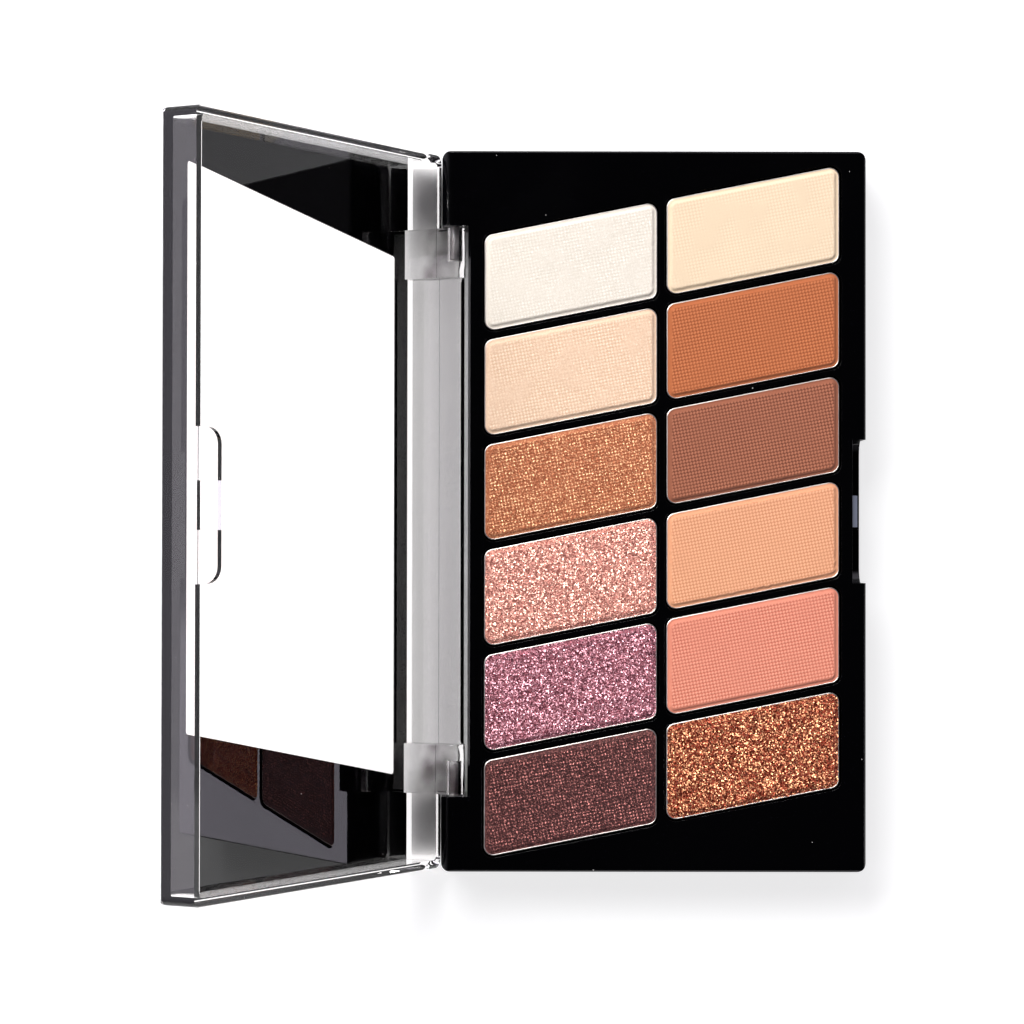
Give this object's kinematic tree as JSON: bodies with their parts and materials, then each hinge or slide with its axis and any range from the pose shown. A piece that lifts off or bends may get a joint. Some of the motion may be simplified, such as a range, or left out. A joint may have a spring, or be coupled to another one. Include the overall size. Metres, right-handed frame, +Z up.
{
  "type": "eyeshadow palette",
  "caption": "Slim black case with two columns of slanted pans of pressed eyeshadow and a clear hinged lid with a printed frame and latch tongue.",
  "frame": {"origin": "centre of the base's underside, where it rests on a table", "axes": "+X across the base from the hinge to the latch, +Y along the hinge towards the upper end of the pans, +Z up out of the deck"},
  "size_m": [0.1208, 0.13, 0.0725],
  "materials": {
    "case_black": "polished black injection-moulded plastic",
    "cover_black": "fine-textured black plastic",
    "clear_plastic": "clear polished styrene plastic",
    "film_black": "gloss black printed film",
    "pan_metal": "thin drawn sheet metal",
    "pin_steel": "drawn steel wire",
    "glue": "dried glue",
    "label": "blank satin label",
    "powder_left_1": "pressed powder, satin white",
    "powder_left_2": "pressed powder, peach cream shimmer",
    "powder_left_3": "pressed powder, copper shimmer",
    "powder_left_4": "pressed powder, rose gold glitter",
    "powder_left_5": "pressed powder, mauve glitter",
    "powder_left_6": "pressed powder, plum shimmer",
    "powder_right_1": "pressed powder, matte cream",
    "powder_right_2": "pressed powder, matte terracotta",
    "powder_right_3": "pressed powder, matte taupe",
    "powder_right_4": "pressed powder, matte peach",
    "powder_right_5": "pressed powder, matte coral",
    "powder_right_6": "pressed powder, bronze glitter"
  },
  "bodies": {
    "base": {"base_tray": "case_black", "bottom_cover": "cover_black", "underside_label": "label", "pan_glue": "glue", "pan_left_1": "pan_metal", "pan_left_2": "pan_metal", "pan_left_3": "pan_metal", "pan_left_4": "pan_metal", "pan_left_5": "pan_metal", "pan_left_6": "pan_metal", "pan_right_1": "pan_metal", "pan_right_2": "pan_metal", "pan_right_3": "pan_metal", "pan_right_4": "pan_metal", "pan_right_5": "pan_metal", "pan_right_6": "pan_metal", "powder_left_1": "powder_left_1", "powder_left_2": "powder_left_2", "powder_left_3": "powder_left_3", "powder_left_4": "powder_left_4", "powder_left_5": "powder_left_5", "powder_left_6": "powder_left_6", "powder_right_1": "powder_right_1", "powder_right_2": "powder_right_2", "powder_right_3": "powder_right_3", "powder_right_4": "powder_right_4", "powder_right_5": "powder_right_5", "powder_right_6": "powder_right_6", "hinge_pin_upper": "pin_steel", "hinge_pin_lower": "pin_steel"},
    "lid": {"clear_lid": "clear_plastic", "lid_film": "film_black"}
  },
  "joints": [
    {"name": "lid_hinge", "type": "hinge", "parent": "base", "child": "lid", "pos_m": [-0.03605, 0, 0.008], "axis": [0, 1, 0], "range_deg": [0, 120]}
  ]
}
